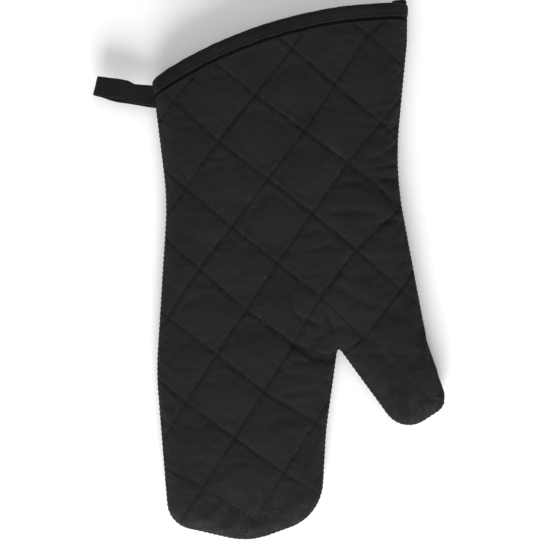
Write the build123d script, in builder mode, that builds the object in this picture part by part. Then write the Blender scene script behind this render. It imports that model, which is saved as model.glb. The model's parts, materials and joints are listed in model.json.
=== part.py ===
from build123d import *

import os
from math import atan2, cos, degrees, radians, sin, tan

# Quilted oven mitt, lying flat with its palm side up. Millimetres, +Z up, fingers towards -Y,
# thumb on the +X side, the cuff's mouth towards +Y. The underside rests on Z = 0.

# ---------------------------------------------------------------- driving dimensions
thickness = 26.0            # whole mitt at rest, palm face to back face
half = thickness / 2        # height of the side seam, and depth of each quilted panel
cloth = 0.8                 # shell and lining cloth
wadding = 5.0               # padding between them
edge_round = 9.0            # rounding of the panels' outer edge
lining_depth = cloth + wadding
cavity_depth = lining_depth + cloth

cuff_radius = 271.0         # the cuff's edge is one arc about this centre
cuff_centre = (79.7, -113.6)
binding_width = 8.7
binding_cloth = 0.8
tape_end_size = (8.5, 2.9, 8.0)   # folded end of the binding, standing up at the thumb side
tape_end_centre = (76.3, 158.35)

thread = 0.5                # width of every sewn line
thread_sink = 0.4           # how deep a sewn line is set into the cloth
binding_stitch = 1.0        # from the binding's lower edge to its stitching

play = 0.3                  # half the gap between sections that bend against each other
bend_axis = 16.0            # height of the finger and thumb bend axes
bend_relief = 37.0          # degrees cut back on each side of a bend, above its axis
finger_bend = (-15.0, -79.0)
finger_way = (0.0, -1.0)
thumb_bend = (51.0, -68.3)
thumb_angle = -63.4
thumb_way = (cos(radians(thumb_angle)), sin(radians(thumb_angle)))
crotch_x = 41.5             # between the fingers and the thumb

loop_root = (-68.6, 103.0)  # where the hanging loop leaves the side seam
loop_angle = 170.0
loop_width = 12.5
loop_tape = 1.2
loop_reach = 35.5           # from the seam to the outside of the fold
loop_fold = 4.2             # outer radius of the fold
loop_axis = 2.0             # from the seam to the line where the loop bends
loop_sewn = 7.0             # length of tape held inside the seam

far = 400.0

# Outline of the side seam: corners and their rounding, from the cuff down the little-finger side,
# round the fingertips, into the crotch, round the thumb and up to the cuff again.
outline_start = (-77.9, 177.9)
outline_corners = [
    ((-61.0, 41.5), 178.0),     # wrist
    ((-67.4, -60.5), 178.0),    # knuckles
    ((-60.1, -150.6), 16.6),    # little fingertip
    ((-12.5, -161.6), 45.0),    # middle fingertip
    ((30.5, -145.9), 29.6),     # first fingertip
    ((33.4, -94.9), 150.0),     # first finger's side
    ((40.2, -45.4), 1.3),       # crotch
    ((78.3, -97.6), 16.0),      # thumb tip, inner corner
    ((106.8, -79.5), 11.4),     # thumb tip, outer corner
    ((92.2, -37.4), 118.0),     # thumb joint
    ((74.1, 59.3), 196.0),      # thumb-side wrist
    ((81.3, 135.2), 59.0),      # cuff
]
outline_end = (81.7, 177.9)

with BuildSketch() as outline:
    with BuildLine():
        corners = [corner for corner, rounding in outline_corners]
        roundings = [rounding for corner, rounding in outline_corners]
        FilletPolyline(outline_start, *corners, outline_end, radius=roundings)
        Line(outline_end, outline_start)
    make_face()


# Quilting, sewn by eye in two directions about 34 mm apart. Each line runs past the outline,
# turning a little where it meets the others. First the lines that rise to the right, from the cuff down.
quilting = [
    [(-28, 136), (-41.5, 118.5), (-80, 69)],
    [(28, 153), (13, 130), (-30.5, 76), (-49.5, 48.5), (-70, 19)],
    [(77, 154), (57.5, 138.5), (19.5, 81), (-22.5, 25.5), (-41.5, 1), (-72, -46)],
    [(84, 109), (45.5, 63), (5, 5), (-31.5, -49.5), (-70, -111)],
    [(92, 50), (50.5, 12), (29.5, -16), (14, -43.5), (-39.5, -127.5), (-60, -158)],
    [(90, 6), (75, -14), (55.5, -39.5), (41, -52)],
    [(41, -68), (27, -90), (8, -119), (-20, -163)],
    [(106, -26), (79, -62), (64, -84)],
    # and the lines that fall to the right
    [(36, 153), (57.5, 138.5), (90, 110)],
    [(0, 141), (37.5, 109), (90, 66)],
    [(-48, 134), (-9, 103), (45.5, 63), (92, 26)],
    [(-75, 116), (-30.5, 76), (24.5, 33.5), (50.5, 12), (75, -10), (98, -28)],
    [(-75, 69), (-22.5, 25.5), (29.5, -16), (73, -57.5), (104, -86)],
    [(-74, 29), (-41.5, 1), (-15, -23), (14, -43.5), (41, -54)],
    [(-75, -17), (-31.5, -49.5), (-4, -71), (27, -90), (45, -99)],
    [(-72, -60), (-49.5, -78), (8, -119), (38, -138)],
    [(-72, -112), (-39.5, -127.5), (2, -154), (14, -162)],
]


# ---------------------------------------------------------------- shapes that the layers are cut from
def half_block(side, depth):
    """Half of the mitt, its surface `depth` inside the outer one: side 1 is the palm, -1 the back."""
    with BuildPart() as block:
        with BuildSketch(Plane.XY.offset(half)):
            add(outline.sketch)
            if depth > 0:
                offset(amount=-depth, mode=Mode.REPLACE)
        extrude(amount=side * (half - depth))
        fillet(block.edges().group_by(Axis.Z)[-1 if side > 0 else 0], edge_round - depth)
    return block.part


def cuff_disc(radius):
    """Everything on the hand's side of an arc about the cuff's centre."""
    with BuildPart() as disc:
        with BuildSketch(Plane.XY.offset(-thickness)):
            with Locations(cuff_centre):
                Circle(radius)
        extrude(amount=3 * thickness)
    return disc.part


def layer(side, outer_depth, inner_depth, outer_radius, inner_radius=0):
    """One layer of a panel between two depths, from one arc about the cuff's centre to another."""
    outside = half_block(side, outer_depth)
    cuts = [half_block(side, inner_depth)]
    if inner_radius > 0:
        cuts.append(cuff_disc(inner_radius))
    reach = cuff_disc(outer_radius)
    with BuildPart() as skin:
        add(outside)
        add(cuts, mode=Mode.SUBTRACT)
        add(reach, mode=Mode.INTERSECT)
    return skin.part


def beyond(bend, way, keep_clear):
    """The space past a bend line. It leans back above the bend's axis, so the section can swing up."""
    across = Vector(way[1], -way[0], 0)
    relief = tan(radians(bend_relief)) * (thickness - bend_axis)
    plane = Plane(origin=(*bend, 0), x_dir=(*way, 0), z_dir=across)
    with BuildPart() as space:
        with BuildSketch(plane):
            with BuildLine():
                Polyline(
                    (keep_clear * play, -thickness),
                    (keep_clear * play, bend_axis),
                    (keep_clear * (play + relief), thickness),
                    (keep_clear * (play + relief), 2 * thickness),
                    (far, 2 * thickness),
                    (far, -thickness),
                    close=True,
                )
            make_face()
        extrude(amount=far, both=True)
    return space.part


def beside_crotch(side):
    """The half space on the finger side (-1) or the thumb side (1) of the crotch."""
    with BuildPart() as space:
        with BuildSketch(Plane.XY.offset(-thickness)):
            with Locations((crotch_x + side * far / 2, 0)):
                Rectangle(far, 2 * far)
        extrude(amount=3 * thickness)
    return space.part


def moving_space(bend, way, side, keep_clear):
    """The space past a bend, as the section (1) or its neighbour (-1) meets it, beside the crotch."""
    past = beyond(bend, way, keep_clear)
    beside = beside_crotch(side)
    with BuildPart() as space:
        add(past)
        add(beside, mode=Mode.INTERSECT)
    return space.part


def sewn_strips():
    """Upright strips as deep as the whole mitt, one for each straight stretch of the quilting."""
    with BuildPart() as strips:
        with BuildSketch():
            for line in quilting:
                for start, end in zip(line, line[1:]):
                    stretch = Vector(*end) - Vector(*start)
                    turn = degrees(atan2(stretch.Y, stretch.X))
                    with Locations((Vector(*start) + Vector(*end)) / 2):
                        Rectangle(stretch.length + thread, thread, rotation=turn)
        extrude(amount=thickness)
    return strips.part


# ---------------------------------------------------------------- hanging loop
loop_way = (cos(radians(loop_angle)), sin(radians(loop_angle)))
loop_plane = Plane(
    origin=(*loop_root, half),
    x_dir=(*loop_way, 0),
    z_dir=(-loop_way[1], loop_way[0], 0),
)
loop_centre = loop_reach - loop_fold
seam_way = (Vector(*outline_start) - Vector(*outline_corners[0][0])).normalized()
seam_plane = Plane(origin=(*loop_root, 0), x_dir=seam_way, z_dir=(0, 0, 1))

with BuildPart() as hanging_loop:
    with BuildSketch(loop_plane):
        Rectangle(loop_tape, 2 * loop_tape)
        with Locations((loop_centre, 0)):
            Circle(loop_fold)
        make_hull()
    extrude(amount=loop_width / 2, both=True)
    with BuildSketch(loop_plane):
        with Locations((loop_axis + 3 * loop_tape, 0)):
            Rectangle(0.01, 0.1)
        with Locations((loop_centre, 0)):
            Circle(loop_fold - loop_tape)
        make_hull()
    extrude(amount=loop_width / 2, both=True, mode=Mode.SUBTRACT)
    with BuildSketch(seam_plane):
        with Locations((0, loop_axis - far / 2)):
            Rectangle(far, far)
    extrude(amount=thickness, mode=Mode.SUBTRACT)

with BuildPart() as hanging_loop_ends:
    with BuildSketch(loop_plane):
        Rectangle(2 * loop_sewn, 2 * loop_tape)
    extrude(amount=loop_width / 2, both=True)
    with BuildSketch():
        add(outline.sketch)
    extrude(amount=thickness, mode=Mode.INTERSECT)

# ---------------------------------------------------------------- cuff binding
binding_start = cuff_radius - binding_width
quilt_end = cuff_radius - binding_cloth
stitch_radius = binding_start + binding_stitch
sides = {"palm": 1, "back": -1}

stitching = [layer(side, 0, thread_sink, stitch_radius + thread, stitch_radius) for side in sides.values()]
with BuildPart() as binding_thread:
    add(stitching)
    add(hanging_loop_ends.part, mode=Mode.SUBTRACT)

folds = []
for side in sides.values():
    folds.append(layer(side, 0, binding_cloth, cuff_radius, binding_start))
    folds.append(layer(side, 0, cavity_depth, cuff_radius, quilt_end))
    folds.append(layer(side, cavity_depth - binding_cloth, cavity_depth, cuff_radius, binding_start))
with BuildPart() as cuff_binding:
    add(folds)
    with Locations((*tape_end_centre, half)):
        Box(*tape_end_size)
    for cut in (binding_thread, hanging_loop_ends):
        add(cut.part, mode=Mode.SUBTRACT)

# ---------------------------------------------------------------- sections that bend against each other
finger_gap = moving_space(finger_bend, finger_way, -1, -1)
thumb_gap = moving_space(thumb_bend, thumb_way, 1, -1)
with BuildPart() as hand_space:
    Box(2 * far, 2 * far, 4 * thickness)
    add([finger_gap, thumb_gap], mode=Mode.SUBTRACT)

sections = {
    "hand": hand_space.part,
    "fingers": moving_space(finger_bend, finger_way, -1, 1),
    "thumb": moving_space(thumb_bend, thumb_way, 1, 1),
}

# ---------------------------------------------------------------- side seam and quilted panels
seam_reach = cuff_disc(binding_start)
with BuildPart() as seam_thread:
    with BuildSketch(Plane.XY.offset(half - thread / 2)):
        add(outline.sketch)
        offset(amount=-thread, mode=Mode.SUBTRACT)
    extrude(amount=thread)
    add(seam_reach, mode=Mode.INTERSECT)
    add(hanging_loop_ends.part, mode=Mode.SUBTRACT)

strips = sewn_strips()
panels = {"side_seam_thread": seam_thread.part}
for face, side in sides.items():
    sewn_depth = layer(side, 0, thread_sink, binding_start)
    with BuildPart() as quilting_thread:
        add(sewn_depth)
        add(strips, mode=Mode.INTERSECT)
        for cut in (seam_thread, hanging_loop_ends):
            add(cut.part, mode=Mode.SUBTRACT)

    # The shell and the lining step in under the binding, which closes round their raw edges.
    step = binding_start - cloth
    shell_steps = [
        layer(side, 0, cloth, binding_start),
        layer(side, binding_cloth, binding_cloth + cloth, quilt_end, step),
    ]
    with BuildPart() as shell:
        add(shell_steps)
        for cut in (quilting_thread, seam_thread, hanging_loop_ends):
            add(cut.part, mode=Mode.SUBTRACT)

    lining_steps = [
        layer(side, lining_depth, cavity_depth, binding_start),
        layer(side, lining_depth - cloth, lining_depth, quilt_end, step),
    ]
    with BuildPart() as lining:
        add(lining_steps)
        add(hanging_loop_ends.part, mode=Mode.SUBTRACT)

    between = layer(side, cloth, lining_depth, quilt_end)
    with BuildPart() as padding:
        add(between)
        for cut in (shell, lining, cuff_binding, hanging_loop_ends):
            add(cut.part, mode=Mode.SUBTRACT)

    panels[f"{face}_shell"] = shell.part
    panels[f"{face}_wadding"] = padding.part
    panels[f"{face}_lining"] = lining.part
    panels[f"{face}_quilting_thread"] = quilting_thread.part


# ---------------------------------------------------------------- write every piece
def write(piece, name):
    """Label one finished piece and write its file."""
    piece.label = name
    export_step(piece, f"parts/{name}.step")


os.makedirs("parts", exist_ok=True)
for panel_name, panel in panels.items():
    for section_name, space in sections.items():
        with BuildPart() as piece:
            add(panel)
            add(space, mode=Mode.INTERSECT)
        write(piece.part, f"{panel_name}_{section_name}")
write(cuff_binding.part, "cuff_binding")
write(binding_thread.part, "binding_thread")
write(hanging_loop.part, "hanging_loop")
write(hanging_loop_ends.part, "hanging_loop_ends")
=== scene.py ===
import json
import math

import bmesh
import bpy
import numpy as np
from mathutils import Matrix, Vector, geometry, noise
from mathutils.bvhtree import BVHTree


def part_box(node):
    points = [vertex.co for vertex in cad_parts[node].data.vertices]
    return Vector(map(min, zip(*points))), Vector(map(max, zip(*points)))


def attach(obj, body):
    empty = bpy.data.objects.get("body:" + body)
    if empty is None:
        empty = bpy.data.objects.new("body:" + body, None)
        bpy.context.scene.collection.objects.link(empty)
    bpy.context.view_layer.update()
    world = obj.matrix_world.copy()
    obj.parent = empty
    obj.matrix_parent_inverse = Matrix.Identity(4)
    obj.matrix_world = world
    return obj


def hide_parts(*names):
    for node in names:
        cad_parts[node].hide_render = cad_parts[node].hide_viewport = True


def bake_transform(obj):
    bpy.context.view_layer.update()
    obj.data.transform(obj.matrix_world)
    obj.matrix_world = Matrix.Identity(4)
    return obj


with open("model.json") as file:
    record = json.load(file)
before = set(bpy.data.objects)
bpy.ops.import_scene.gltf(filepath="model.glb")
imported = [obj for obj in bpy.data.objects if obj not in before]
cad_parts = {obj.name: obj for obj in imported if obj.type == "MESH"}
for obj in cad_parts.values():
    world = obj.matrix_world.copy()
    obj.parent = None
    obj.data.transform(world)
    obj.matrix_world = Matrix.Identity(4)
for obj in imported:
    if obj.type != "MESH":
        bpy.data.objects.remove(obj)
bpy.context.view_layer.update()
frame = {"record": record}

# -------- sizes taken from the frame
palm_low, palm_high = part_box("palm_shell_hand")
SEAM = palm_low.z  # height of the side seam
HALF = palm_high.z - SEAM  # from the side seam to the palm's highest place
PANEL = palm_high.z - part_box("palm_lining_hand")[1].z  # from the shell's outside to the lining
HINGES = {joint["name"]: Vector(joint["pos_m"]) for joint in frame["record"]["behaviour"]["joints"]}

# -------- driving sizes
STEP = 0.0023  # spacing of the cloth mesh before it is refined
PLAN_LOW = (-0.08, -0.165)  # a rectangle in plan with room for the whole mitt
PLAN_HIGH = (0.11, 0.165)
EDGE = 0.0105  # how far in from the side seam a panel curves down
RIM_RINGS = 8  # rows of cloth round that curved edge
CROWN = HALF - 0.0024  # height of the sewn lines above the seam, in the middle of the palm
DOME = 0.14  # share of that height that the palm gains on its way in
DOME_REACH = 0.045  # how far in it has all of it
BACK_CROWN = HALF - 0.0012  # the back lies flatter, pressed against the table
SEWN = 0.0040  # thickness of a panel along its sewn lines
SHELL_CLEAR = 0.0030  # from the shell to the wadding, so that no crease reaches it
LINING_CLEAR = 0.0007  # from the wadding to the lining
ON_TABLE = 0.0001  # lowest place of anything that lies on the table
DEEPEST = 0.0026  # most that grooves and creases together press the cloth in
SEAM_INSET = 0.0002  # how far the side seam itself is drawn in
ROLL_IN = 0.0027  # how far the side seam has rolled in over the thumb's palm
ROLL_UP = 0.0030  # and how far up

SIM_FRAMES = 14  # length of the cloth simulation
MOST_PUFF = 0.0045  # most that it may move a point
PALM_PRESSURE, BACK_PRESSURE = 17, 11
PALM_SEED, BACK_SEED = 3, 8

CUFF_CENTRE = np.array((0.0797, -0.1136))
CUFF_RADIUS = 0.271
BINDING = 0.0087  # width of the binding
GROOVE = CUFF_RADIUS - BINDING
CUFF_CUT = CUFF_RADIUS - 0.001  # where the panels end inside the binding
CUFF_MIDDLE = np.array((0, 0.1, SEAM))  # a place well inside the cuff

STITCH = 0.0030  # from one stitch to the next
THREAD_SIDES = 6

LOOP_ROOT = np.array((-0.0686, 0.1030))
LOOP_OUT = np.array((-0.9848, 0.1736))  # the way the hanging loop points
LOOP_WIDTH = 0.0116  # width of the tape
LOOP_REACH = 0.0352  # from the seam to the loop's far end
LOOP_FOLD = 0.0036  # radius of the fold at its end
LOOP_LIFT = 0.0014  # how far its root holds the two panels apart, on each side
LOOP_SEWN = 0.0035  # how far its legs run in between the panels
LOOP_TAIL = 0.0055  # how far the tape's own ends run on from there
LEG_GAP = 0.0008  # height of each leg from the seam where it is sewn in
LOWER_SHIFT = -0.0009  # how far the lower leg has slipped across
TAPE = 0.0011  # thickness of the tape

# The side seam's corners and their rounding, from the cuff down the little-finger side and round.
SEAM_START = (-0.0779, 0.1779)
SEAM_CORNERS = [
    ((-0.061, 0.0415), 0.178), ((-0.0674, -0.0605), 0.178), ((-0.0601, -0.1506), 0.0166),
    ((-0.0125, -0.1616), 0.045), ((0.0305, -0.1459), 0.0296), ((0.0334, -0.0949), 0.15),
    ((0.0402, -0.0454), 0.0013), ((0.0783, -0.0976), 0.016), ((0.1068, -0.0795), 0.0114),
    ((0.0922, -0.0374), 0.118), ((0.0741, 0.0593), 0.196), ((0.0813, 0.1352), 0.059),
]
SEAM_END = (0.0817, 0.1779)

# The quilting's sewn lines: those that rise to the right, then those that fall to the right.
THUMB_LINE = [(0.096, 0.015), (0.075, -0.014), (0.0555, -0.0395), (0.0405, -0.0515)]
RISING = [
    [(-0.028, 0.136), (-0.0415, 0.1185), (-0.08, 0.069)],
    [(0.028, 0.153), (0.013, 0.13), (-0.0305, 0.076), (-0.0495, 0.0485), (-0.07, 0.019)],
    [(0.077, 0.154), (0.0575, 0.1385), (0.0195, 0.081), (-0.0225, 0.0255), (-0.0415, 0.001),
     (-0.072, -0.046)],
    [(0.084, 0.109), (0.0455, 0.063), (0.005, 0.005), (-0.0315, -0.0495), (-0.07, -0.111)],
    [(0.092, 0.05), (0.0505, 0.012), (0.0295, -0.016), (0.014, -0.0435), (-0.0395, -0.1275),
     (-0.06, -0.158)],
    THUMB_LINE,
    [(0.041, -0.068), (0.027, -0.09), (0.008, -0.119), (-0.02, -0.163)],
    [(0.106, -0.026), (0.079, -0.062), (0.064, -0.084)],
]
FALLING = [
    [(0.036, 0.153), (0.0575, 0.1385), (0.09, 0.11)],
    [(0.0, 0.141), (0.0375, 0.109), (0.09, 0.066)],
    [(-0.048, 0.134), (-0.009, 0.103), (0.0455, 0.063), (0.092, 0.026)],
    [(-0.075, 0.116), (-0.0305, 0.076), (0.0245, 0.0335), (0.0505, 0.012), (0.075, -0.01),
     (0.098, -0.028)],
    [(-0.075, 0.069), (-0.0225, 0.0255), (0.0295, -0.016), (0.073, -0.0575), (0.104, -0.086)],
    [(-0.074, 0.029), (-0.0415, 0.001), (-0.015, -0.023), (0.014, -0.0435), (0.0405, -0.0535)],
    [(-0.075, -0.017), (-0.0315, -0.0495), (-0.004, -0.071), (0.027, -0.09), (0.045, -0.099)],
    [(-0.072, -0.06), (-0.0495, -0.078), (0.008, -0.119), (0.038, -0.138)],
    [(-0.072, -0.112), (-0.0395, -0.1275), (0.002, -0.154), (0.014, -0.162)],
]
QUILTING = RISING + FALLING

# The thumb's part of the plan, beyond the sewn line into its crotch.
THUMB_PART = np.array(THUMB_LINE[::-1] + [(0.2, 0.015), (0.2, -0.2), (0.05, -0.2), (0.05, -0.09)])

# Creases in the palm: the line of each, its depth and its half width.
CREASES = [
    ([(0.0131, -0.0435), (0.025, -0.0507), (0.0369, -0.0534)], 0.0015, 0.0021),
    ([(0.025, -0.0507), (0.0382, -0.0498)], 0.0012, 0.0017),
    ([(0.0145, -0.0534), (0.0224, -0.054)], 0.0008, 0.0016),
    ([(0.0112, -0.0132), (0.0145, -0.025), (0.0198, -0.0297)], 0.0011, 0.0013),
    ([(0.0343, -0.0263), (0.0382, -0.0382), (0.0409, -0.0461)], 0.0012, 0.0014),
    ([(0.0211, -0.0277), (0.0277, -0.0316)], 0.0008, 0.0016),
    ([(0.0421, -0.0107), (0.054, -0.0172), (0.0593, -0.021)], 0.001, 0.0026),
    ([(0.0593, -0.0492), (0.0658, -0.0486)], 0.0007, 0.0015),
    ([(0.058, -0.0396), (0.0658, -0.0448)], 0.0006, 0.0013),
    ([(0.0106, -0.0724), (0.0277, -0.0699)], 0.0007, 0.0024),
    ([(0.0237, 0.0119), (0.0356, 0.0148)], 0.0007, 0.0017),
    ([(0.0593, 0.066), (0.0652, 0.067), (0.0747, 0.0735)], 0.0012, 0.0014),
    ([(0.0697, 0.0816), (0.0745, 0.0836)], 0.0009, 0.0012),
    ([(0.0652, 0.0534), (0.0747, 0.0531)], 0.0011, 0.0013),
    ([(0.0652, 0.0474), (0.0741, 0.0374)], 0.0009, 0.0017),
    ([(0.0368, 0.0344), (0.0605, 0.0344)], 0.0009, 0.0022),
    ([(0.0397, 0.0504), (0.0546, 0.051)], 0.0006, 0.002),
    ([(0.0623, 0.0267), (0.0741, 0.0297)], 0.0011, 0.0015),
    ([(0.0208, 0.1216), (0.0237, 0.0907)], 0.0008, 0.0014),
    ([(0.0267, 0.0652), (0.0267, 0.0563)], 0.0005, 0.0013),
    ([(0.0445, 0.147), (0.0486, 0.135)], 0.0006, 0.0014),
    ([(0.064, 0.06), (0.075, 0.062)], 0.0008, 0.0011),
    ([(0.06, 0.093), (0.073, 0.095)], 0.0005, 0.0016),
]

# The folded binding tape in section: distance out from the groove, and depth below the panel's outside.
BINDING_SECTION = [
    (0.0007, 0.0010), (0.0004, 0.0000), (0.0006, -0.0007), (0.0011, -0.0010), (0.0020, -0.0012),
    (0.0036, -0.0015), (0.0054, -0.0016), (0.0068, -0.0013), (0.0077, -0.0006), (0.0085, 0.0003),
    (0.0088, 0.0015), (0.0086, 0.0028), (0.0078, 0.0041), (0.0062, 0.0049), (0.0030, 0.0051),
    (0.0006, 0.0050), (0.0002, 0.0046), (0.0008, 0.0042), (0.0040, 0.0042), (0.0069, 0.0036),
    (0.0077, 0.0026), (0.0078, 0.0013), (0.0072, 0.0004), (0.0040, -0.0003), (0.0012, 0.0000),
    (0.0008, 0.0008),
]

# The cloth's own edge, turned back against the binding: a thin rib below the groove.
RIB_SECTION = [(0.00035 * math.cos(angle) - 0.0018, -0.0001 - 0.00045 * math.sin(angle))
               for angle in np.linspace(0, 2 * math.pi, 8, endpoint=False)]

# Half of the hanging tape in section: shares of its width and of its thickness.
TAPE_SECTION = [(-1, 0), (-0.97, 0.8), (-0.85, 1), (-0.45, 0.9),
                (0, 0.86), (0.45, 0.9), (0.85, 1), (0.97, 0.8)]

# How far the loop's upper leg has slipped across, by distance out.
UPPER_SHIFT = [(-LOOP_SEWN, 0.0003), (0.004, 0.0001), (0.0125, -0.0007), (0.0165, 0.0005),
               (0.024, 0.0003), (LOOP_REACH, 0.0)]


# -------- plane geometry
def fade(value, start, end):
    """0 where the value is at start, 1 where it is at end, eased at both."""
    t = np.clip((value - start) / (end - start), 0, 1)
    return t * t * (3 - 2 * t)


def unit(v):
    return v / np.linalg.norm(v)


def units(rows):
    """Each row scaled to length 1."""
    return rows / np.linalg.norm(rows, axis=1)[:, None]


def flat_vectors(plan):
    """Plan points or directions with a height of 0."""
    return np.column_stack((plan, np.zeros(len(plan))))


def left_of(v):
    return np.array((-v[1], v[0]))


def run_along(line):
    """How far along a line each of its points is."""
    return np.concatenate(([0], np.cumsum(np.linalg.norm(np.diff(line, axis=0), axis=1))))


def read_off(values, line, run):
    """Values kept at a line's points, at places this far along it."""
    return np.column_stack([np.interp(run, run_along(line), column) for column in values.T])


def resample(line, step):
    """A list of points along straight stretches, corners kept."""
    line = np.array(line)
    points = []
    for a, b in zip(line, line[1:]):
        count = max(1, round(np.linalg.norm(b - a) / step))
        points += [a + (b - a) * i / count for i in range(count)]
    return [*points, line[-1]]


def seam_path(step):
    """The side seam as points, with spacing that stays even a little way inside the mitt."""
    corners, roundings = zip(*SEAM_CORNERS)
    stops = np.array([SEAM_START, *corners, SEAM_END])
    points, inward = [], []
    at = stops[0]
    for before, corner, after, radius in zip(stops, stops[1:], stops[2:], roundings):
        way_in, way_out = unit(corner - before), unit(after - corner)
        turn = math.atan2(left_of(way_in) @ way_out, way_in @ way_out)
        reach = radius * math.tan(abs(turn) / 2)
        arc_start = corner - way_in * reach
        points += resample((at, arc_start), step)[:-1]
        inward += [left_of(way_in)] * (len(points) - len(inward))
        side = math.copysign(1, turn)
        centre = arc_start + left_of(way_in) * radius * side
        count = max(2, math.ceil(abs(turn) * (radius - side * EDGE / 3) / step))
        for i in range(count):
            angle = turn * i / count
            spoke = -left_of(way_in) * side * math.cos(angle) + way_in * math.sin(abs(angle))
            points.append(centre + spoke * radius)
            inward.append(-spoke * side)
        at = corner + way_out * reach
    points += resample((at, stops[-1]), step)
    inward += [left_of(way_out)] * (len(points) - len(inward))
    return np.array(points), np.array(inward)


SEAM_POINTS, SEAM_INWARD = seam_path(STEP * 0.9)


def to_line(points, line):
    """Distance from each point to a line of straight stretches, and how far along it the nearest place is."""
    points, line = np.asarray(points, float), np.asarray(line, float)
    best = np.full(len(points), np.inf)
    along = np.zeros(len(points))
    run = 0.0
    for a, b in zip(line, line[1:]):
        stretch = b - a
        length = np.linalg.norm(stretch)
        t = np.clip((points - a) @ stretch / length**2, 0, 1)
        gap = np.linalg.norm(points - (a + t[:, None] * stretch), axis=1)
        nearer = gap < best
        best[nearer] = gap[nearer]
        along[nearer] = run + t[nearer] * length
        run += length
    return best, along


def to_lines(points, lines):
    """Distance to the nearest of several lines, and a place along it that differs from line to line."""
    gaps, runs = zip(*(to_line(points, line) for line in lines))
    nearest = np.argmin(gaps, axis=0)
    every = np.arange(len(points))
    return np.array(gaps)[nearest, every], np.array(runs)[nearest, every] + nearest


def seam_place(points):
    """Each point's distance from the side seam, place along it, nearest seam point and inward direction."""
    gap, run = to_line(points, SEAM_POINTS)
    return gap, run, read_off(SEAM_POINTS, SEAM_POINTS, run), units(read_off(SEAM_INWARD, SEAM_POINTS, run))


def in_polygon(points, corners):
    inside = np.zeros(len(points), bool)
    x, y = points.T
    for a, b in zip(corners, np.roll(corners, -1, axis=0)):
        if a[1] == b[1]:
            continue
        crosses = (a[1] > y) != (b[1] > y)
        inside ^= crosses & (x < a[0] + (y - a[1]) * (b[0] - a[0]) / (b[1] - a[1]))
    return inside


def cuff_reach(points):
    return np.linalg.norm(points - CUFF_CENTRE, axis=1)


def cuff_arc(radius, step):
    """Points along an arc about the cuff's centre, from beyond the outline on one side to the other."""
    ends = [math.asin((x - CUFF_CENTRE[0]) / radius) for x in (SEAM_START[0], SEAM_END[0] + 0.004)]
    count = round((ends[1] - ends[0]) * radius / step)
    angles = np.linspace(*ends, count + 1)
    return CUFF_CENTRE + radius * np.column_stack((np.sin(angles), np.cos(angles)))


# -------- the panels' flat mesh
def sewn_runs():
    """The stretches of the sewn lines that a panel's mesh follows, clear of its edge and of the cuff."""
    runs = []
    for line in QUILTING:
        if line is THUMB_LINE:
            continue
        line = np.array(resample(line, STEP))
        keep = (to_line(line, SEAM_POINTS)[0] > EDGE + STEP * 0.4) & in_polygon(line, SEAM_POINTS)
        keep &= cuff_reach(line) < GROOVE - STEP * 0.4
        stretches = np.split(np.arange(len(line)), np.flatnonzero(np.diff(keep.astype(int))) + 1)
        runs += [line[part] for part in stretches if keep[part[0]] and len(part) > 1]
    return runs


def points_between():
    """Evenly spaced points over the rest of a panel, clear of every line that its mesh follows."""
    rows = np.arange(PLAN_LOW[1], PLAN_HIGH[1], STEP * math.sqrt(3) / 2)
    columns = np.arange(PLAN_LOW[0], PLAN_HIGH[0], STEP)
    grid = np.array([(x + (i % 2) * STEP / 2, y) for i, y in enumerate(rows) for x in columns])
    clear = in_polygon(grid, SEAM_POINTS) & (cuff_reach(grid) < CUFF_CUT - STEP * 0.5)
    clear &= to_line(grid, SEAM_POINTS)[0] > EDGE + STEP * 0.6
    clear &= np.abs(cuff_reach(grid) - GROOVE) > STEP * 0.5
    clear &= to_lines(grid, QUILTING)[0] > STEP * 0.6
    return grid[clear]


def panel_plan():
    """One panel seen from above: points, and triangles whose edges follow the seam, cuff and sewn lines."""
    insets = EDGE * (1 - np.cos(np.linspace(0, math.pi / 2, RIM_RINGS + 1)))
    lines = [SEAM_POINTS + SEAM_INWARD * inset for inset in insets]
    lines += [cuff_arc(CUFF_CUT, STEP), cuff_arc(GROOVE, STEP), resample(THUMB_LINE, STEP), *sewn_runs()]
    points, edges = [], []
    for line in lines:
        start = len(points)
        points.extend(line)
        edges.extend((i, i + 1) for i in range(start, len(points) - 1))
    points.extend(points_between())

    mm = 1000
    placed, _, triangles, *_ = geometry.delaunay_2d_cdt(
        [Vector(point) * mm for point in points], edges, [], 0, 1e-3, False)
    placed = np.array(placed) / mm
    triangles = np.array([triangle for triangle in triangles if len(triangle) == 3])
    centres = placed[triangles].mean(axis=1)
    triangles = triangles[in_polygon(centres, SEAM_POINTS) & (cuff_reach(centres) < CUFF_CUT)]
    a, b, c = (placed[triangles[:, i]] for i in range(3))
    area = np.cross(b - a, c - a) / 2
    triangles[area < 0] = triangles[area < 0][:, ::-1]
    triangles = triangles[np.abs(area) > 1e-12]
    used, triangles = np.unique(triangles, return_inverse=True)
    return placed[used], triangles.reshape(-1, 3)


# -------- the relaxed shape of a panel
def rim_angle(gap):
    """0 at the side seam, a right angle where the panel has curved up to its flat part."""
    return np.arccos(np.clip(1 - gap / EDGE, 0, 1))


def seam_roll(nearest):
    """1 where the side seam has rolled on to the palm, along the outer side of the thumb."""
    x, y = nearest.T
    return fade(x, 0.086, 0.092) * fade(y, -0.082, -0.068) * fade(y, -0.032, -0.056)


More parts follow.
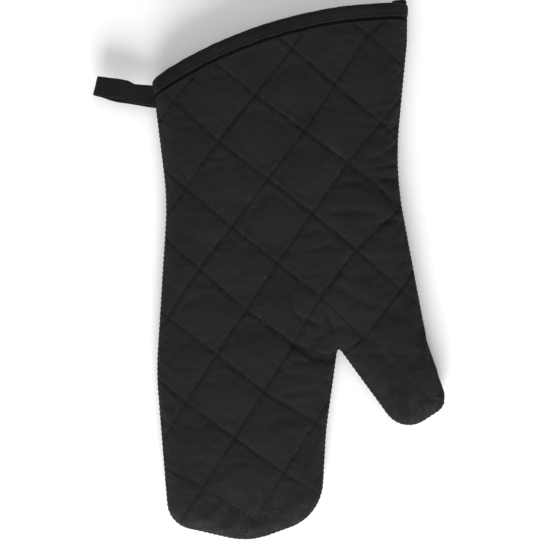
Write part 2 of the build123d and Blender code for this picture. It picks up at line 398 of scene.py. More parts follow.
def layer(plan, depth, side):
    """A surface this deep inside a panel's relaxed outside; side is 1 for the palm, -1 for the back."""
    gap, _, nearest, inward = seam_place(plan)
    angle = rim_angle(gap)
    rise, lean = np.sin(angle), np.cos(angle)
    depth = depth + SEAM_INSET
    if side > 0:
        crown = CROWN * (1 - DOME + DOME * fade(gap, 0, DOME_REACH))
        hold = lean ** 1.5
    else:
        crown = BACK_CROWN
        hold = np.where(angle < 0.01, 1.0, 0.0)
    roll = seam_roll(nearest) * hold
    over_loop = LOOP_LIFT * fade(np.linalg.norm(nearest - LOOP_ROOT, axis=1), 0.0112, 0.0032) * lean
    reach = EDGE - (EDGE - depth) * lean + ROLL_IN * roll
    xy = np.where((rise > 0.9999)[:, None], plan, nearest + inward * reach[:, None])
    z = SEAM + side * ((crown - depth) * rise + over_loop) + ROLL_UP * roll
    return np.column_stack((xy, z))


def pattern(plan, depth):
    """Where each point was on the flat cloth: the panel with its curved edge, at this depth, rolled out."""
    gap, _, nearest, inward = seam_place(plan)
    girth = (EDGE + CROWN) / 2 - depth
    rolled = nearest + inward * (EDGE - girth * (math.pi / 2 - rim_angle(gap)))[:, None]
    return np.where((gap < EDGE)[:, None], rolled, plan)


def noise_at(points, size, seed):
    """Smooth noise from -1 to 1 with features of this size, at points in plan or in space."""
    shift = Vector((seed * 7.31, seed * 3.17, seed * 5.53))
    points = points if points.shape[1] == 3 else flat_vectors(points)
    return np.array([noise.noise(Vector(point) + shift) for point in points / size])


# -------- mesh helpers
def set_all(thing, settings):
    for key, value in settings.items():
        setattr(thing, key, value)


def in_scene(name, data):
    """A new object in the scene."""
    obj = bpy.data.objects.new(name, data)
    bpy.context.scene.collection.objects.link(obj)
    return obj


def add_object(name, vertices, faces, plan=None):
    mesh = bpy.data.meshes.new(name)
    mesh.from_pydata(vertices.tolist(), [], [tuple(int(i) for i in face) for face in faces])
    mesh.update()
    mesh.shade_smooth()
    if plan is not None:
        store(mesh, "plan", flat_vectors(plan))
    return in_scene(name, mesh)


def read_vectors(points, field):
    """A vector of three from each point of a mesh or of an attribute."""
    found = np.empty(len(points) * 3)
    points.foreach_get(field, found)
    return found.reshape(-1, 3)


def coordinates(mesh):
    return read_vectors(mesh.vertices, "co")


def normals(mesh):
    return read_vectors(mesh.vertices, "normal")


def plan_of(mesh):
    return read_vectors(mesh.attributes["plan"].data, "vector")[:, :2]


def set_coordinates(mesh, places):
    mesh.vertices.foreach_set("co", places.ravel())
    mesh.update()


def move_out(mesh, distance):
    """Move each point along its own normal."""
    set_coordinates(mesh, coordinates(mesh) + normals(mesh) * distance[:, None])


def lay_down(mesh, lowest=ON_TABLE):
    """Flatten whatever would be below this height."""
    places = coordinates(mesh)
    places[:, 2] = np.maximum(places[:, 2], lowest)
    set_coordinates(mesh, places)


def store(mesh, name, values):
    """Keep a number or a vector of three for each point of a mesh."""
    kind, field = ("FLOAT", "value") if values.ndim == 1 else ("FLOAT_VECTOR", "vector")
    mesh.attributes.new(name, kind, "POINT")
    mesh.attributes[name].data.foreach_set(field, values.ravel())


def apply_modifiers(obj):
    """Swap the object's mesh for what its modifiers make of it."""
    graph = bpy.context.evaluated_depsgraph_get()
    shaped = obj.evaluated_get(graph)
    mesh = bpy.data.meshes.new_from_object(shaped, preserve_all_data_layers=True, depsgraph=graph)
    obj.modifiers.clear()
    old = obj.data
    obj.data = mesh
    mesh.name = obj.name
    bpy.data.meshes.remove(old)


def refine(obj):
    """One round of subdivision."""
    obj.modifiers.new("finer", "SUBSURF").levels = 1
    apply_modifiers(obj)


def skin(count, size, wrap=False):
    """Faces over rings of points; with wrap the last ring joins the first, otherwise the ends are capped."""
    faces = []
    for i in range(count if wrap else count - 1):
        here, there = i * size, (i + 1) % count * size
        for j in range(size):
            k = (j + 1) % size
            faces.append((here + j, here + k, there + k, there + j))
    if not wrap:
        faces.append(tuple(range(size))[::-1])
        faces.append(tuple(range((count - 1) * size, count * size)))
    return faces


def loft(name, rings, wrap=False):
    """A closed skin over rings of points, facing out."""
    rings = np.asarray(rings)
    obj = add_object(name, rings.reshape(-1, 3), skin(*rings.shape[:2], wrap))
    work = bmesh.new()
    work.from_mesh(obj.data)
    bmesh.ops.recalc_face_normals(work, faces=work.faces)
    work.to_mesh(obj.data)
    work.free()
    obj.data.shade_smooth()
    return obj


# -------- padded cloth, by simulation
def add_cloth(obj, plan, pressure, seed):
    """Let a panel's wadding blow its cloth out between the sewn lines, which hold it down."""
    gap = seam_place(plan)[0]
    line_gap = to_lines(plan, QUILTING)[0]
    held = (gap < 1e-5) | (cuff_reach(plan) > GROOVE - STEP * 0.4)
    held |= (line_gap < STEP * 0.15) | ((line_gap < STEP * 0.5) & (gap < EDGE))
    obj.vertex_groups.new(name="pin").add(np.flatnonzero(held).tolist(), 1.0, "REPLACE")
    excess = obj.vertex_groups.new(name="excess")
    amount = 0.5 + 0.5 * noise_at(plan, 0.03, seed) + 0.4 * fade(plan[:, 0], 0.03, 0.08)
    for i, weight in enumerate(np.clip(amount, 0, 1)):
        excess.add([i], float(weight), "REPLACE")
    cloth = obj.modifiers.new("cloth", "CLOTH")
    set_all(cloth.settings, {
        "vertex_group_mass": "pin", "vertex_group_shrink": "excess", "shrink_min": -0.012,
        "shrink_max": -0.035, "mass": 0.001, "tension_stiffness": 6, "compression_stiffness": 6,
        "shear_stiffness": 6, "bending_stiffness": 0.02, "quality": 5, "use_pressure": True,
        "uniform_pressure_force": pressure})
    cloth.settings.effector_weights.gravity = 0
    cloth.collision_settings.use_collision = False
    cloth.point_cache.frame_start = 1
    cloth.point_cache.frame_end = SIM_FRAMES


def simulate(objects):
    """Run the cloth of all the panels together, and keep how far it moved, up to a limit."""
    starts = [coordinates(obj.data) for obj in objects]
    for number in range(1, SIM_FRAMES + 1):
        bpy.context.scene.frame_set(number)
    for obj, start in zip(objects, starts):
        apply_modifiers(obj)
        moved = coordinates(obj.data) - start
        size = np.linalg.norm(moved, axis=1)
        moved *= np.minimum(1, MOST_PUFF / np.maximum(size, 1e-9))[:, None]
        set_coordinates(obj.data, start + moved)
    bpy.context.scene.frame_set(1)


# -------- folds and stitched lines
def worn_ends(plan):
    """0 over most of the mitt, rising to 1 at the ends of the fingers and thumb, where it is rubbed most."""
    x, y = plan.T
    return np.clip(fade(y, -0.108, -0.158) + fade(y, -0.052, -0.087) * (x > 0.045), 0, 1)


def slack_ends(plan):
    """Where the sewn lines have gone slack: the worn ends, and more of the thumb."""
    x, y = plan.T
    return np.maximum(worn_ends(plan), fade(y, -0.020, -0.050) * (x > 0.055))


def sewn_grooves(plan):
    """How far the quilting pulls the cloth in, stitch by stitch."""
    gap, run = to_lines(plan, QUILTING)
    pull = np.where(to_lines(plan, RISING)[0] < 0.0015, 0.0010, 0.0007)
    dimple = 0.5 + 0.5 * np.cos(2 * math.pi * run / STITCH)
    return pull * np.exp(-(gap / 0.0009) ** 2) * (0.75 + 0.25 * dimple) * (1 - 0.7 * slack_ends(plan))


def puckers(plan, seed):
    """Puckers beside the sewn lines, along the side seam and on the bunched outer side, and small dents."""
    x, y = plan.T
    gap, run, nearest, _ = seam_place(plan)
    line_gap, line_run = to_lines(plan, QUILTING)
    beside_lines = np.exp(-line_gap / 0.0045) * fade(line_gap, 0, 0.0012)
    beside_seam = np.exp(-gap / 0.008) * (0.35 + 0.65 * fade(nearest[:, 0], 0.03, 0.06))
    bunched = fade(x, 0.052, 0.070) * fade(y, 0.010, 0.040) * fade(y, 0.112, 0.082)
    kinds = [       # height, where, the places that the noise is read at, and its size
        (0.00042, beside_lines, (line_run, line_gap * 0.12), 0.0026),
        (0.0010, beside_seam, (run, gap * 0.15), 0.0045),
        (0.0009, bunched, (x * 0.18, y + 0.12 * x), 0.0042),
        (0.00045, 1, (x, y), 0.011),
        (0.00018, 1, (x, y), 0.004),
    ]
    return sum(height * where * noise_at(np.column_stack(places), size, seed + number)
               for number, (height, where, places, size) in enumerate(kinds))


def crease_depth(plan, creases):
    depths = [deep * np.exp(-(to_line(plan, line)[0] / wide) ** 2) for line, deep, wide in creases]
    return np.max([np.zeros(len(plan)), *depths], axis=0)


def surface_detail(mesh, seed, creases):
    """Grooves, puckers and creases, moved along the cloth's own normals."""
    plan = plan_of(mesh)
    move = puckers(plan, seed) - sewn_grooves(plan) - crease_depth(plan, creases)
    free = fade(seam_place(plan)[0], 0, 0.002) * fade(cuff_reach(plan), GROOVE - 0.001, GROOVE - 0.004)
    move_out(mesh, np.maximum(move, -DEEPEST) * free)


def mark_cloth(mesh, depth, lay, worn, slack, groove):
    """What the cloth's material reads: the place on the flat cloth, distances to lines and seam, and wear;
    the distances, the slack and the groove set where its painted shade goes.
    """
    plan = plan_of(mesh)
    store(mesh, "cloth", np.column_stack((pattern(plan, depth), np.full(len(plan), lay))))
    store(mesh, "line", to_lines(plan, QUILTING)[0])
    store(mesh, "edge", seam_place(plan)[0])
    store(mesh, "worn", worn)
    store(mesh, "slack", slack)
    store(mesh, "groove", groove)


def mark_shell(mesh, side, seed):
    """Marks for a shell: painted shade in the groove under the binding, and where the back rolls on to the
    palm.
    """
    plan = plan_of(mesh)
    gap, _, nearest, _ = seam_place(plan)
    groove = np.abs(cuff_reach(plan) - GROOVE + 0.0004)
    if side < 0:
        groove = np.minimum(groove, 0.00085 + gap * 0.25 + 0.002 * (1 - seam_roll(nearest)))
    mark_cloth(mesh, 0, seed * 0.1, worn_ends(plan), slack_ends(plan), groove)


def split_thumb(obj, name, thumb_name):
    """Part a panel's cloth along the sewn line into the thumb's crotch, into a hand piece and a thumb piece.
    """
    thumb = obj.copy()
    thumb.data = obj.data.copy()
    thumb.name = thumb_name
    bpy.context.scene.collection.objects.link(thumb)
    obj.name = name
    for piece, wanted in ((obj, False), (thumb, True)):
        mesh = piece.data
        plan = plan_of(mesh)
        work = bmesh.new()
        work.from_mesh(mesh)
        centres = np.array([plan[[v.index for v in face.verts]].mean(axis=0) for face in work.faces])
        unwanted = in_polygon(centres, THUMB_PART) != wanted
        bmesh.ops.delete(work, geom=[f for f, out in zip(work.faces, unwanted) if out], context="FACES")
        work.to_mesh(mesh)
        work.free()
        mesh.name = piece.name
    return obj, thumb


def surface_reader(mesh):
    """A function from plan points to places and normals on a finished panel."""
    mesh.calc_loop_triangles()
    triangles = np.empty(len(mesh.loop_triangles) * 3, int)
    mesh.loop_triangles.foreach_get("vertices", triangles)
    triangles = triangles.reshape(-1, 3)
    plan, places, outward = plan_of(mesh), coordinates(mesh), normals(mesh)
    tree = BVHTree.FromPolygons(flat_vectors(plan).tolist(), triangles.tolist())

    def read(points):
        at, up = [], []
        for x, y in points:
            spot, _, index, _ = tree.find_nearest(Vector((x, y, 0.0)))
            corners = triangles[index]
            a, b, c = plan[corners]
            spot = np.array(spot[:2])
            weights = np.array((np.cross(b - spot, c - spot), np.cross(c - spot, a - spot)))
            weights /= np.cross(b - a, c - a)
            weights = np.clip(np.append(weights, 1 - weights.sum()), 0, 1)
            at.append(weights @ places[corners])
            up.append(unit(weights @ outward[corners]))
        return np.array(at), np.array(up)

    return read


# -------- where pieces go: attached to the hand's body, or baked in place
def bend(piece, joint, way):
    """Bake a piece's place into its mesh; the joint's hinge and the way are looked up, but the piece is not
    bent.
    """
    hinge, way = HINGES[joint], Vector(way).normalized()
    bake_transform(piece)


def follow_hand(piece):
    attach(piece, "hand")


def follow_fingers(piece):
    bend(piece, "finger_flex", (0, -1, 0))


def follow_thumb(piece):
    bend(piece, "thumb_flex", (0.447, -0.894, 0))


def follow_loop(piece):
    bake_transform(piece)


def declare_cloth(piece, depth):
    """Work out the flat pattern that a panel's cloth unrolls to at this depth, and its triangles; neither is
    kept.
    """
    mesh = piece.data
    flat = pattern(plan_of(mesh), depth)
    mesh.calc_loop_triangles()


# -------- the two quilted panels
def lining_depth(plan):
    """How deep the lining lies: close behind the shell along the sewn lines and at the cuff."""
    full = SEWN + (PANEL + 0.0005 - SEWN) * fade(to_lines(plan, QUILTING)[0], 0, 0.011)
    at_cuff = fade(cuff_reach(plan), GROOVE - 0.010, GROOVE - 0.001)
    return full * (1 - at_cuff) + SEWN * at_cuff


def make_lining(name, plan, faces, side):
    obj = add_object(name, layer(plan, lining_depth(plan), side), faces[:, ::-side], plan)
    none = np.zeros(len(plan))
    mark_cloth(obj.data, SEWN, 0.7 * side, none, none, none + 0.01)
    return obj


def shell_up(places, faces, side):
    """Outward directions at the points of a panel's coarse mesh."""
    a, b, c = (places[faces[:, i]] for i in range(3))
    facing = np.cross(b - a, c - a) * side
    up = np.zeros_like(places)
    for i in range(3):
        np.add.at(up, faces[:, i], facing)
    return units(up)


def make_wadding(name, plan, faces, shell_places, side):
    """The filling between shell and lining, a closed pad."""
    outer = shell_places - shell_up(shell_places, faces, side) * SHELL_CLEAR
    inner = layer(plan, lining_depth(plan) - LINING_CLEAR, side)
    count = len(plan)
    top = faces[:, ::side]
    bottom = top[:, ::-1] + count
    edges = {(a, b) for face in top.tolist() for a, b in zip(face, face[1:] + face[:1])}
    walls = [(b, a, a + count, b + count) for a, b in sorted(edges) if (b, a) not in edges]
    return add_object(name, np.vstack((outer, inner)), [*top, *bottom, *walls])


def make_panels():
    """Both panels' shells, linings, waddings and quilting stitches, each in a hand and a thumb piece."""
    plan, faces = panel_plan()
    thumb = in_polygon(plan[faces].mean(axis=1), THUMB_PART)
    panels = [("palm", 1, PALM_PRESSURE, PALM_SEED, CREASES), ("back", -1, BACK_PRESSURE, BACK_SEED, [])]
    shells = {}
    for panel, side, pressure, seed, _ in panels:
        shells[panel] = add_object(f"{panel}_cloth", layer(plan, 0, side), faces[:, ::side], plan)
        add_cloth(shells[panel], plan, pressure, seed)
    simulate(list(shells.values()))

    made = {}
    for panel, side, _, seed, creases in panels:
        shell = shells[panel]
        lay_down(shell.data, ON_TABLE + 0.0002)
        coarse = coordinates(shell.data)
        for part, wanted in (("hand", ~thumb), ("thumb", thumb)):
            used, part_faces = np.unique(faces[wanted], return_inverse=True)
            part_faces = part_faces.reshape(-1, 3)
            made[panel, "lining", part] = make_lining(
                f"{panel}_lining_{part}_cloth", plan[used], part_faces, side)
            made[panel, "wadding", part] = make_wadding(
                f"{panel}_wadding_{part}_pad", plan[used], part_faces, coarse[used], side)
        refine(shell)
        surface_detail(shell.data, seed, creases)
        lay_down(shell.data)
        mark_shell(shell.data, side, seed)
        rows = quilting_stitches(surface_reader(shell.data))
        for part, row in zip(("hand", "thumb"), rows):
            made[panel, "quilting_thread", part] = stitches(f"{panel}_quilting_stitches_{part}", *row)
        halves = split_thumb(shell, f"{panel}_cloth_hand", f"{panel}_cloth_thumb")
        made[panel, "shell", "hand"], made[panel, "shell", "thumb"] = halves
    return made


# -------- thread
def stitches(name, places, ways, ups, length=0.0022, thickness=0.00042):
    """Short raised stitches, each a small arched length of thread."""
    along = (-1, -0.8, -0.3, 0.3, 0.8, 1)
    swell = (0.25, 0.8, 1, 1, 0.8, 0.25)
    sides = np.cross(ups, ways)
    points = []
    for t, size in zip(along, swell):
        middle = places + ways * (t * length / 2) + ups * (thickness / 2 * (1 - t * t))
        for angle in np.arange(THREAD_SIDES) * 2 * math.pi / THREAD_SIDES:
            points.append(middle + (sides * math.cos(angle) + ups * math.sin(angle)) * thickness / 2 * size)
    points = np.stack(points, axis=1)
    points[:, :, 2] = np.maximum(points[:, :, 2], 0)
    one = skin(len(along), THREAD_SIDES)
    starts = np.arange(len(places)) * len(along) * THREAD_SIDES
    faces = [[start + corner for corner in face] for start in starts for face in one]
    return add_object(name, points.reshape(-1, 3), faces)


def row_of_stitches(line, read):
    """Plan points, places, ways and ups for stitches along a line of plan points."""
    middles = np.arange(STITCH / 2, run_along(line)[-1], STITCH)
    before, after = (read_off(line, line, middles + shift) for shift in (-STITCH / 3, STITCH / 3))
    plan = (before + after) / 2
    keep = in_polygon(plan, SEAM_POINTS) & (cuff_reach(plan) < GROOVE - 0.002)
    keep &= seam_place(plan)[0] > 0.0006
    places, ups = read(plan[keep])
    ways = units(read(after[keep])[0] - read(before[keep])[0])
    return plan[keep], places, ways, np.cross(ways, units(np.cross(ups, ways)))


def quilting_stitches(read):
    """Places, ways and ups of a panel's stitches, first the hand's and then the thumb's."""
    hand, thumb = [], []
    for line in QUILTING:
        plan, *row = row_of_stitches(np.array(line), read)
        on_thumb = in_polygon(plan, THUMB_PART) & (line is not THUMB_LINE)
        hand.append([values[~on_thumb] for values in row])
        thumb.append([values[on_thumb] for values in row])
    return [[np.vstack(column) for column in zip(*rows)] for rows in (hand, thumb)]


def make_seam_thread():
    """Stitches round the side seam, in the groove where the panels meet."""
    line = SEAM_POINTS[cuff_reach(SEAM_POINTS) < GROOVE]
    plan = read_off(line, line, np.arange(STITCH / 2, run_along(line)[-1], STITCH))
    plan = plan[np.linalg.norm(plan - LOOP_ROOT, axis=1) > 0.009]
    outward = -flat_vectors(seam_place(plan)[3])
    ways = np.cross((0, 0, 1), outward)
    places = layer(plan, 0.0002, 1)
    on_thumb = in_polygon(plan, THUMB_PART)
    return [stitches(name, places[part], ways[part], outward[part], 0.0024, 0.0005)
            for name, part in (("seam_stitches_hand", ~on_thumb), ("seam_stitches_thumb", on_thumb))]


# -------- cuff binding
def cuff_end(radius, seam):
    """Where the side seam, followed from one end, first comes this near the cuff's centre."""
    reach = cuff_reach(seam)
    i = np.argmax(reach < radius)
    return seam[i] + (seam[i - 1] - seam[i]) * (radius - reach[i]) / (reach[i - 1] - reach[i])


def cuff_points(radius):
    """Plan points across the cuff at a radius, close together at the rounded sides."""
    start, end = (math.asin((cuff_end(radius, seam)[0] - CUFF_CENTRE[0]) / radius)
                  for seam in (SEAM_POINTS, SEAM_POINTS[::-1]))
    length = (end - start) * radius
    rim = EDGE * 1.15 * (1 - np.cos(np.linspace(0, math.pi / 2, RIM_RINGS + 5)))
    middle = np.linspace(rim[-1], length - rim[-1], 100)[1:-1]
    turned = start + np.concatenate((rim, middle, (length - rim)[::-1])) / radius
    return CUFF_CENTRE + radius * np.column_stack((np.sin(turned), np.cos(turned)))


def round_the_cuff(name, section):
    """A closed ring that follows the cuff, with this section, flush with the panels at the sides."""
    columns = []
    for out, depth in section:
        plan = cuff_points(GROOVE + out)
        flush = np.sin(rim_angle(seam_place(plan)[0])) if depth < 0 else 1
        depth = depth * (0.25 + 0.75 * flush)
        columns.append(np.vstack((layer(plan, depth, 1), layer(plan, depth, -1)[::-1][1:-1])))
    return loft(name, np.stack(columns, axis=1), wrap=True)


def make_binding():
    band = round_the_cuff("binding_tape", BINDING_SECTION)
    refine(band)
    places = coordinates(band.data)
    move_out(band.data, 0.00022 * noise_at(places, 0.006, 21) + 0.00012 * noise_at(places, 0.0025, 22))
    lay_down(band.data)
    return band


def make_tape_end():
    """The binding's own end, folded over and standing just above the cuff's outer corner."""
    middle = np.array((0.0762, 0.1578))
    half_length, half_thickness, half_width = 0.0046, 0.0021, 0.0042
    rings = []
    for t in np.linspace(-1, 1, 13):
        full = (1 - abs(t) ** 5) ** 0.5 if abs(t) < 1 else 0.25
        ring = []
        for angle in np.linspace(0, 2 * math.pi, 24, endpoint=False):
            c, s = math.cos(angle), math.sin(angle)
            tall = math.copysign(abs(c) ** 0.7, c) * half_thickness * full
            wide = math.copysign(abs(s) ** 0.6, s) * half_width * (0.6 + 0.4 * full)
            crease = 0.0005 * math.exp(-(wide / 0.0009) ** 2) if c > 0 else 0
            x, y = middle + (half_length * t, tall - crease + 0.0005 * t)
            ring.append((x, y, SEAM + wide))
        rings.append(ring)
    return loft("binding_tape_end", rings)


def make_binding_stitches():
    """A row of stitches on each side of the cuff, close to the binding's lower edge."""
    rows = []
    for side in (1, -1):
        line = cuff_points(GROOVE + 0.0012)
        middles = np.arange(STITCH, run_along(line)[-1] - STITCH / 2, STITCH)
        before, at, after = (layer(read_off(line, line, middles + shift), -0.0012, side)
                             for shift in (-0.001, 0, 0.001))
        ways = units(after - before)
        plan = read_off(line, line, middles)
        ups = np.cross(units(flat_vectors(plan - CUFF_CENTRE)), ways)
        ups *= np.sign(np.sum(ups * (at - CUFF_MIDDLE), axis=1))[:, None]
        rows.append((at, ways, units(ups)))
    return stitches("binding_stitches", *(np.vstack(column) for column in zip(*rows)), 0.0021, 0.0004)


# -------- hanging loop
def ribbon(name, path):
    """Woven tape along (distance out, height, shift across) points, with thickness and rounded edges."""
    path = np.array(path)
    across = np.array((LOOP_OUT[1], -LOOP_OUT[0]))
    rings = []
    for (out, height, shift), way in zip(path, units(np.gradient(path[:, :2], axis=0))):
        ring = []
        for u, v in TAPE_SECTION + [(-u, -v) for u, v in TAPE_SECTION]:
            side = shift + u * LOOP_WIDTH / 2
            at_out = out - way[1] * v * TAPE / 2 - 0.07 * side * max(0, out / LOOP_REACH)
            x, y = LOOP_ROOT + LOOP_OUT * at_out + across * side
            ring.append((x, y, SEAM + height + way[0] * v * TAPE / 2))
        rings.append(ring)
    return loft(name, rings)


def leg_height(out):
    return LEG_GAP + (LOOP_FOLD - LEG_GAP) * fade(out, 0.001, 0.021)


def make_loop():
    """The hanging tape, out along the upper leg, round the fold and back along the lower leg."""
    straight = np.linspace(-LOOP_SEWN, LOOP_REACH - LOOP_FOLD, 60)
    upper = [(out, leg_height(out), np.interp(out, *zip(*UPPER_SHIFT))) for out in straight]
    turn = np.linspace(0, math.pi, 14)[1:-1]
    fold = [(LOOP_REACH - LOOP_FOLD + LOOP_FOLD * math.sin(a), LOOP_FOLD * math.cos(a), 0.0) for a in turn]
    lower = [(out, -leg_height(out), LOWER_SHIFT * (1 - fade(out, 0.022, 0.032))) for out in straight[::-1]]
    tape = ribbon("hanging_tape", upper + fold + lower)
    refine(tape)
    move_out(tape.data, 0.00035 * noise_at(coordinates(tape.data), 0.009, 31))
    return tape


def make_loop_ends():
    """The tape's two ends, sewn in between the panels."""
    run = np.linspace(-LOOP_SEWN - LOOP_TAIL, -LOOP_SEWN, 8)
    return [ribbon(f"hanging_tape_end_{leg}", [(out, height, shift) for out in run])
            for leg, height, shift in (("upper", LEG_GAP, 0.0), ("lower", -LEG_GAP, LOWER_SHIFT))]


# -------- materials
class Nodes:
    """Short calls for building one material's nodes."""

    def __init__(self, name):
        self.material = bpy.data.materials.new(name)
        self.material.use_nodes = True
        self.tree = self.material.node_tree
        self.shader = self.tree.nodes["Principled BSDF"]

    def put(self, node, socket, value):
        """Link what another node gives, or set a plain number or colour."""
        if hasattr(value, "is_output"):
            self.tree.links.new(value, node.inputs[socket])
        else:
            node.inputs[socket].default_value = value

    def add(self, kind, sockets, **settings):
        """A new node; what it gives."""
        node = self.tree.nodes.new(kind)
        set_all(node, settings)
        for socket, value in sockets.items():
            self.put(node, socket, value)
        return node.outputs

    def math(self, operation, a, b):
        return self.add("ShaderNodeMath", {0: a, 1: b}, operation=operation)[0]

    def times(self, first, *others):
        for value in others:
            first = self.math("MULTIPLY", first, value)
        return first

    def attribute(self, name, output="Fac"):
        return self.add("ShaderNodeAttribute", {}, attribute_name=name)[output]

    def place(self):
        return self.add("ShaderNodeTexCoord", {})["Object"]

    def noise(self, vector, scale, detail=2.0):
        return self.add("ShaderNodeTexNoise", {"Vector": vector, "Scale": scale, "Detail": detail})["Fac"]

    def bands(self, vector, pitch, direction):
        """Bands this far apart, in metres."""
        sockets = {"Vector": vector, "Scale": math.pi / 10 / pitch}
        return self.add("ShaderNodeTexWave", sockets, bands_direction=direction)["Fac"]

    def ramp(self, value, low, high, to_low=0.0, to_high=1.0):
        sockets = {"Value": value, "From Min": low, "From Max": high, "To Min": to_low, "To Max": to_high}
        return self.add("ShaderNodeMapRange", sockets, interpolation_type="SMOOTHSTEP")["Result"]

    def mix(self, amount, a, b):
        """From one colour to another."""
        return self.add("ShaderNodeMix", {0: amount, 6: a, 7: b}, data_type="RGBA")[2]

    def scaled(self, colour, amount):
        """The colour times a number."""
        return self.add("ShaderNodeVectorMath", {0: colour, "Scale": amount}, operation="SCALE")[0]

    def bump(self, height, distance, **under):
        """A bumped normal, on top of another where Normal is given."""
        sockets = {"Height": height, "Distance": distance, "Strength": 1.0, **under}
        return self.add("ShaderNodeBump", sockets)[0]

    def finish(self, colour, normal, rough, sheen, sheen_rough, specular):
        looks = {"Base Color": colour, "Normal": normal, "Roughness": rough, "Sheen Weight": sheen,
                 "Sheen Roughness": sheen_rough, "Specular IOR Level": specular}
        for socket, value in looks.items():
            self.put(self.shader, socket, value)
        return self.material


def lint_on(n, cloth, line, worn):
    """Where lint clings: as clouds on the worn ends, and as fine specks there and beside some sewn lines."""
    drawn_out = {"Vector": cloth, "Rotation": (0, 0, 0.75), "Scale": (0.30, 1.0, 1.0)}
    hairs = n.noise(n.add("ShaderNodeMapping", drawn_out)[0], 1500.0)
    specks = n.ramp(n.math("MAXIMUM", n.noise(cloth, 1500.0), hairs), 0.60, 0.67)
    clouds = n.times(worn, n.ramp(n.noise(cloth, 110.0, 4.0), 0.42, 0.62))
    beside_lines = n.ramp(line, 0.0012, 0.0035, 1.0, 0.0)
    here_and_there = n.ramp(n.noise(cloth, 60.0), 0.58, 0.68)
    on_lines = n.times(beside_lines, here_and_there, specks, 0.9)
    return clouds, n.math("MAXIMUM", n.times(clouds, specks), on_lines)


def quilted_cloth(name, base, lint, pitch):
    """Plain-woven cotton, with faded patches, lint, and painted shade along its sewn lines, in its grooves
    and along its edges.
    """
    n = Nodes(name)
    cloth, line, worn = n.attribute("cloth", "Vector"), n.attribute("line"), n.attribute("worn")
    patches = n.ramp(n.noise(cloth, 38.0, 3.0), 0.3, 0.7, 0.93, 1.07)
    mottle = n.ramp(n.noise(cloth, 700.0, 3.0), 0.3, 0.7, 0.96, 1.04)
    weave = n.math("MAXIMUM", n.bands(cloth, pitch, "X"), n.bands(cloth, pitch, "Y"))
    yarn_shade = n.ramp(weave, 0.2, 1.0, 0.90, 1.03)
    # Painted shade along the sewn lines, darker within a millimetre of each; the slack lines near the ends
    # get less of it.
    slack_line = n.times(n.ramp(line, 0.0002, 0.0010, 0.26, 0.0), n.attribute("slack"))
    sewn = n.math("ADD", n.ramp(line, 0.0002, 0.0010, 0.68, 1.0), slack_line)
    # Painted shade in the groove under the binding, and where the back rolls on to the palm: down to a sixth
    # as bright there.
    groove = n.ramp(n.attribute("groove"), 0.0006, 0.0013, 0.16, 1.0)
    # Painted shade along the side seam, darker within 2.5 mm of it.
    painted_seam_shade = n.ramp(n.attribute("edge"), 0.0, 0.0025, 0.70, 1.0)
    # The cloth's own tone, from patches, mottle and weave, times the painted shade of its lines, grooves and
    # seam.
    shade = n.times(patches, mottle, sewn, groove, yarn_shade, painted_seam_shade)
    clouds, specks = lint_on(n, cloth, line, worn)
    colour = n.mix(n.times(clouds, 0.030), n.scaled(base, shade), (*lint, 1))
    colour = n.mix(n.times(specks, 0.30), colour, (*lint, 1))
    normal = n.bump(weave, 0.00012)
    normal = n.bump(n.noise(cloth, 900.0), 0.00010, Normal=normal)
    rough = n.ramp(mottle, 0.96, 1.04, 1.0, 0.9)
    return n.finish(colour, normal, rough, 0.02, 0.4, 0.12)


def woven_tape(name, base, pitch):
    """Close-woven cotton tape with a slight rib, rubbed paler along its edges."""
    n = Nodes(name)
    place = n.place()
    patches = n.ramp(n.noise(place, 110.0, 3.0), 0.3, 0.7, 0.80, 1.20)
    rib = n.math("MAXIMUM", n.bands(place, pitch, "DIAGONAL"), n.bands(place, pitch * 0.8, "Y"))
    rubbed = n.ramp(n.add("ShaderNodeNewGeometry", {})["Pointiness"], 0.50, 0.60, 1.0, 1.5)
    colour = n.scaled(base, n.times(patches, n.ramp(rib, 0.2, 1.0, 0.82, 1.08), rubbed))
    normal = n.bump(rib, 0.00010)
    normal = n.bump(n.noise(place, 800.0), 0.00008, Normal=normal)
    return n.finish(colour, normal, 0.9, 0.03, 0.45, 0.15)


def spun_thread(name, base):
    """Two-ply thread, its twist showing as slanting bands."""
    n = Nodes(name)
    place = n.place()
    twist = n.bands(place, 0.0005, "DIAGONAL")
    fuzz = n.ramp(n.noise(place, 1800.0), 0.3, 0.7, 0.8, 1.25)
    colour = n.scaled(base, n.times(fuzz, n.ramp(twist, 0.0, 1.0, 0.75, 1.1)))
    return n.finish(colour, n.bump(twist, 0.00008), 0.75, 0.03, 0.4, 0.2)


def felt(name, base):
    """Matted cotton and polyester filling."""
    n = Nodes(name)
    place = n.place()
    clumps = n.ramp(n.noise(place, 130.0, 4.0), 0.3, 0.7, 0.85, 1.05)
    fibres = n.noise(place, 1400.0, 5.0)
    colour = n.scaled(base, n.times(clumps, n.ramp(fibres, 0.3, 0.7, 0.9, 1.05)))
    return n.finish(colour, n.bump(fibres, 0.0004), 0.95, 0.2, 0.5, 0.25)


def pale_paper(name, base):
    """The table's covering, almost smooth."""
    n = Nodes(name)
    grain = n.ramp(n.noise(n.place(), 900.0, 3.0), 0.3, 0.7, 0.99, 1.0)
    return n.finish(n.scaled(base, grain), n.bump(grain, 0.0001), 0.95, 0.0, 0.5, 0.1)


# -------- put together
def fit(piece, material, slot, follow, *nodes):
    """Give a piece its material, run the follow step given for it, and hide the CAD nodes that it stands for;
    slot is not used.
    """
    piece.data.materials.clear()
    piece.data.materials.append(material)
    follow(piece)
    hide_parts(*nodes)


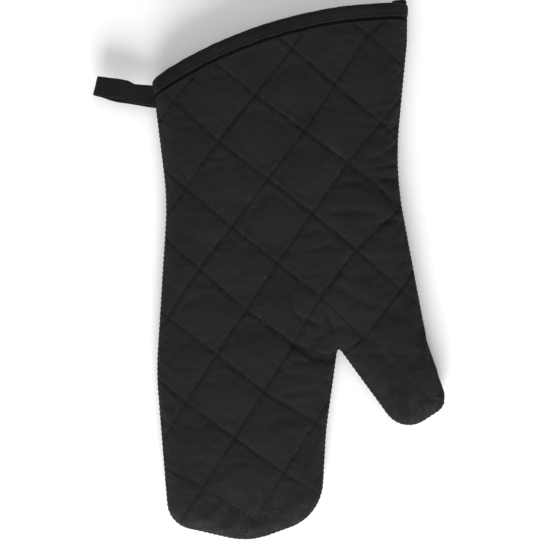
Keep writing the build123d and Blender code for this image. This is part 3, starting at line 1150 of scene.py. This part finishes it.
def build():
    shell = quilted_cloth("shell cotton", (0.0139, 0.0137, 0.0139), (0.140, 0.112, 0.118), 0.00042)
    inner = quilted_cloth("lining cotton", (0.034, 0.034, 0.035), (0.10, 0.10, 0.10), 0.00055)
    tape = woven_tape("binding cotton", (0.0078, 0.0078, 0.0080), 0.00045)
    rib_cloth = woven_tape("turned edge cotton", (0.0092, 0.0092, 0.0094), 0.00045)
    thread = spun_thread("sewing thread", (0.0105, 0.0105, 0.0107))
    filling = felt("wadding felt", (0.72, 0.70, 0.66))

    made = make_panels()
    layers = [("shell", shell, "shell_cloth"), ("lining", inner, "lining_cloth"),
              ("wadding", filling, "wadding"), ("quilting_thread", thread, "thread")]
    parts = [("hand", ("hand", "fingers"), follow_fingers), ("thumb", ("thumb",), follow_thumb)]
    for panel in ("palm", "back"):
        for part, bodies, follow in parts:
            for kind, material, slot in layers:
                nodes = [f"{panel}_{kind}_{body}" for body in bodies]
                fit(made[panel, kind, part], material, slot, follow, *nodes)
            declare_cloth(made[panel, "shell", part], 0)
            declare_cloth(made[panel, "lining", part], SEWN + 0.001)

    seam_hand, seam_thumb = make_seam_thread()
    fit(seam_hand, thread, "thread", follow_fingers, "side_seam_thread_hand", "side_seam_thread_fingers")
    fit(seam_thumb, thread, "thread", follow_thumb, "side_seam_thread_thumb")

    for piece in (make_binding(), make_tape_end()):
        fit(piece, tape, "binding_tape", follow_hand, "cuff_binding")
    fit(round_the_cuff("cuff_rib", RIB_SECTION), rib_cloth, "binding_tape", follow_hand, "cuff_binding")
    fit(make_binding_stitches(), thread, "thread", follow_hand, "binding_thread")

    fit(make_loop(), tape, "binding_tape", follow_loop, "hanging_loop")
    for end in make_loop_ends():
        fit(end, tape, "binding_tape", follow_hand, "hanging_loop_ends")


def light(name, place, size, power):
    """A round lamp that faces the mitt."""
    lamp = bpy.data.lights.new(name, "AREA")
    set_all(lamp, {"shape": "DISK", "size": size, "energy": power})
    obj = in_scene(name, lamp)
    obj.location = place
    obj.rotation_euler = (-Vector(place)).to_track_quat("-Z", "Y").to_euler()


def make_studio():
    corners = np.array([(-3, -3, 0), (3, -3, 0), (3, 3, 0), (-3, 3, 0)])
    floor = add_object("floor", corners, [(0, 1, 2, 3)])
    floor.data.materials.append(pale_paper("pale paper", (0.93, 0.93, 0.93)))

    world = bpy.data.worlds.new("studio")
    world.use_nodes = True
    background = world.node_tree.nodes["Background"]
    background.inputs["Color"].default_value = (1, 1, 1, 1)
    background.inputs["Strength"].default_value = 0.46
    bpy.context.scene.world = world
    light("window", (-0.08, -1.32, 0.78), 1.0, 32)
    light("overhead", (0.25, 0.35, 1.60), 1.2, 6)
    bpy.context.scene.view_settings.view_transform = "Standard"

    field = 0.3203          # width of the picture, at the height of the side seam
    lens = bpy.data.cameras.new("camera")
    lens.lens = 100
    lens.sensor_width = 36
    camera = in_scene("camera", lens)
    camera.location = (0, 0, SEAM + field * lens.lens / lens.sensor_width)
    bpy.context.scene.camera = camera


build()
make_studio()
